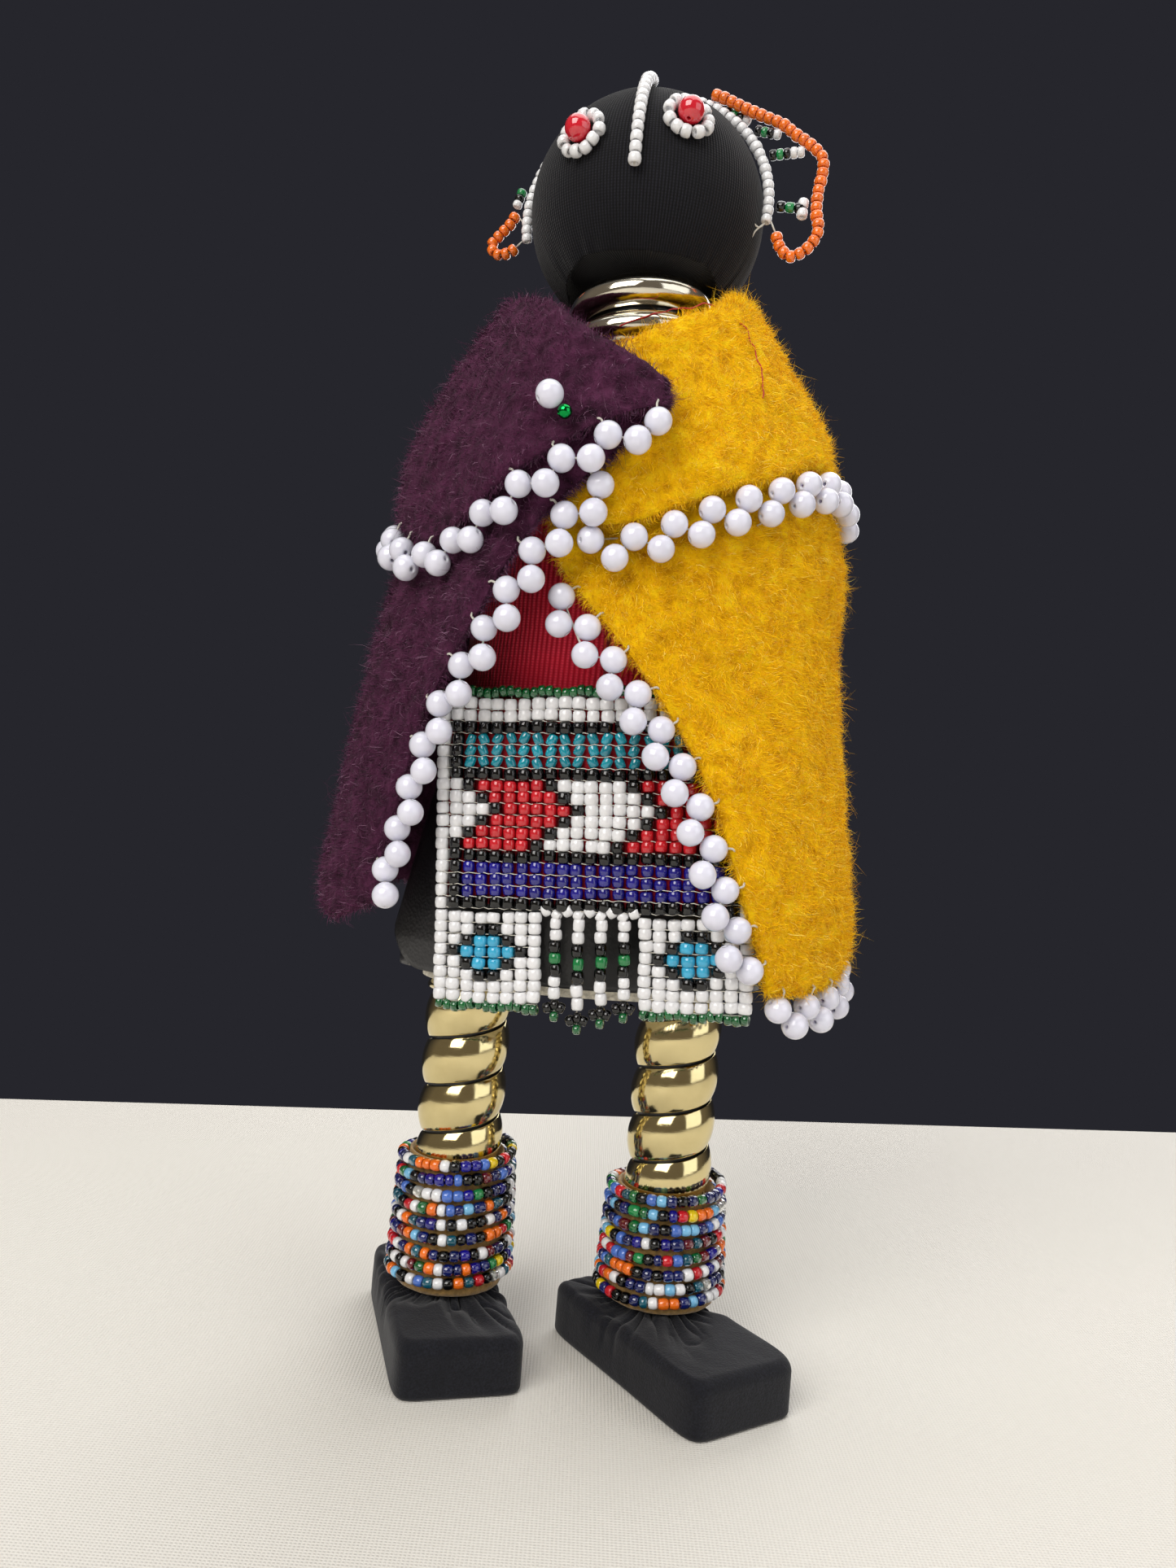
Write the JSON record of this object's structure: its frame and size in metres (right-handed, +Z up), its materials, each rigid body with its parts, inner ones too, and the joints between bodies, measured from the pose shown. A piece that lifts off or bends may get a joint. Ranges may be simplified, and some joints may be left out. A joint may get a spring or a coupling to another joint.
{
  "type": "beaded cloth doll",
  "caption": "Standing cloth doll with beaded apron, ringed neck and legs, beaded ankles and a pinned two-colour fleece blanket edged with round beads.",
  "frame": {"origin": "on the ground under the middle of the standing doll's box", "axes": "+Z up; the doll faces -Y; +X is towards the viewer's right of the doll"},
  "size_m": [0.1266, 0.088, 0.2972],
  "materials": {
    "foot_wood": "plain softwood, hidden under the cloth",
    "black_cloth": "fine black stretch knit, gathered at the ankle",
    "leg_rod": "dowel painted black",
    "felt": "tan felt strip",
    "mixed_seed_beads": "glossy seed beads of mixed colours",
    "stuffing": "polyester fibre fill",
    "red_knit": "fine red rib knit",
    "black_vinyl": "black imitation leather, semi-gloss",
    "black_cord": "flat black cord",
    "apron_beads": "glossy seed beads in a woven pattern",
    "purple_fleece": "brushed plum fleece with a short pile",
    "yellow_fleece": "brushed golden fleece with a short pile",
    "pearl_beads": "milky white round beads",
    "head_knit": "fine black stretch knit over a ball",
    "white_seed_beads": "glossy opaque white seed beads",
    "eye_red": "glossy red round bead",
    "orange_seed_beads": "glossy opaque orange seed beads",
    "dark_seed_beads": "glossy black, green and white seed beads",
    "neck_metal_foil": "mirror-bright pale metallised strip",
    "leg_metal_foil": "mirror-bright pale gold metallised strip",
    "pin_steel": "bright steel",
    "green_bead": "transparent green bead"
  },
  "bodies": {
    "root": {"left_foot_block": "foot_wood", "right_foot_block": "foot_wood", "left_foot_cover": "black_cloth", "right_foot_cover": "black_cloth", "left_leg_rod": "leg_rod", "right_leg_rod": "leg_rod", "left_ankle_wrap": "felt", "right_ankle_wrap": "felt", "left_ankle_beads": "mixed_seed_beads", "right_ankle_beads": "mixed_seed_beads", "torso_stuffing": "stuffing", "red_top": "red_knit", "vinyl_skirt": "black_vinyl", "waist_cord": "black_cord", "apron_panel": "apron_beads", "neck_post": "black_cloth", "neck_dowel": "foot_wood", "purple_blanket": "purple_fleece", "yellow_blanket": "yellow_fleece", "purple_front_pearls": "pearl_beads", "yellow_front_pearls": "pearl_beads", "purple_collar_pearls": "pearl_beads", "yellow_collar_pearls": "pearl_beads", "yellow_hem_pearls": "pearl_beads"},
    "head": {"head_stuffing": "stuffing", "head_cover": "head_knit", "nose_beads": "white_seed_beads", "left_eye_bead": "eye_red", "right_eye_bead": "eye_red", "left_eye_ring": "white_seed_beads", "right_eye_ring": "white_seed_beads", "headband": "white_seed_beads", "right_frill_strand": "orange_seed_beads", "right_frill_spokes": "dark_seed_beads", "left_frill_strand": "orange_seed_beads", "left_frill_spokes": "dark_seed_beads"},
    "neck_coil": {"neck_coil": "neck_metal_foil"},
    "left_leg_coil": {"left_leg_coil": "leg_metal_foil"},
    "right_leg_coil": {"right_leg_coil": "leg_metal_foil"},
    "pin": {"pin_shaft": "pin_steel", "pin_pearl": "pearl_beads", "pin_stop_bead": "green_bead"},
    "left_flap": {"left_flap": "apron_beads"},
    "right_flap": {"right_flap": "apron_beads"},
    "fringe_1": {"fringe_1": "dark_seed_beads"},
    "fringe_2": {"fringe_2": "dark_seed_beads"},
    "fringe_3": {"fringe_3": "dark_seed_beads"},
    "fringe_4": {"fringe_4": "dark_seed_beads"}
  },
  "joints": [
    {"name": "head_turn", "type": "hinge", "parent": "root", "child": "head", "pos_m": [0.0013, -0.0011, 0.2666], "axis": [0, 0, 1], "range_deg": [-25, 25]},
    {"name": "neck_coil_turn", "type": "hinge", "parent": "root", "child": "neck_coil", "pos_m": [0.0013, -0.0011, 0.237], "axis": [0, 0, 1], "continuous": true},
    {"name": "left_leg_coil_turn", "type": "hinge", "parent": "root", "child": "left_leg_coil", "pos_m": [-0.0262, 0.0049, 0.058], "axis": [0, 0, 1], "continuous": true},
    {"name": "right_leg_coil_turn", "type": "hinge", "parent": "root", "child": "right_leg_coil", "pos_m": [0.0238, 0.0049, 0.056], "axis": [0, 0, 1], "continuous": true},
    {"name": "pin_pull", "type": "slide", "parent": "root", "child": "pin", "axis": [-0.1958, -0.9583, 0.2079], "range_m": [0, 0.02]},
    {"name": "left_flap_lift", "type": "hinge", "parent": "root", "child": "left_flap", "pos_m": [-0.02159, -0.01956, 0.10158], "axis": [-0.9762, 0.2075, -0.0628], "range_deg": [0, 60]},
    {"name": "right_flap_lift", "type": "hinge", "parent": "root", "child": "right_flap", "pos_m": [0.02254, -0.02894, 0.10442], "axis": [-0.9762, 0.2075, -0.0628], "range_deg": [0, 3]},
    {"name": "fringe_1_swing", "type": "hinge", "parent": "root", "child": "fringe_1", "pos_m": [-0.00685, -0.0227, 0.10253], "axis": [-0.9762, 0.2075, -0.0628], "range_deg": [0, 60]},
    {"name": "fringe_2_swing", "type": "hinge", "parent": "root", "child": "fringe_2", "pos_m": [-0.00196, -0.02373, 0.10284], "axis": [-0.9762, 0.2075, -0.0628], "range_deg": [0, 60]},
    {"name": "fringe_3_swing", "type": "hinge", "parent": "root", "child": "fringe_3", "pos_m": [0.00292, -0.02477, 0.10316], "axis": [-0.9762, 0.2075, -0.0628], "range_deg": [0, 60]},
    {"name": "fringe_4_swing", "type": "hinge", "parent": "root", "child": "fringe_4", "pos_m": [0.0078, -0.02581, 0.10347], "axis": [-0.9762, 0.2075, -0.0628], "range_deg": [0, 60]}
  ]
}
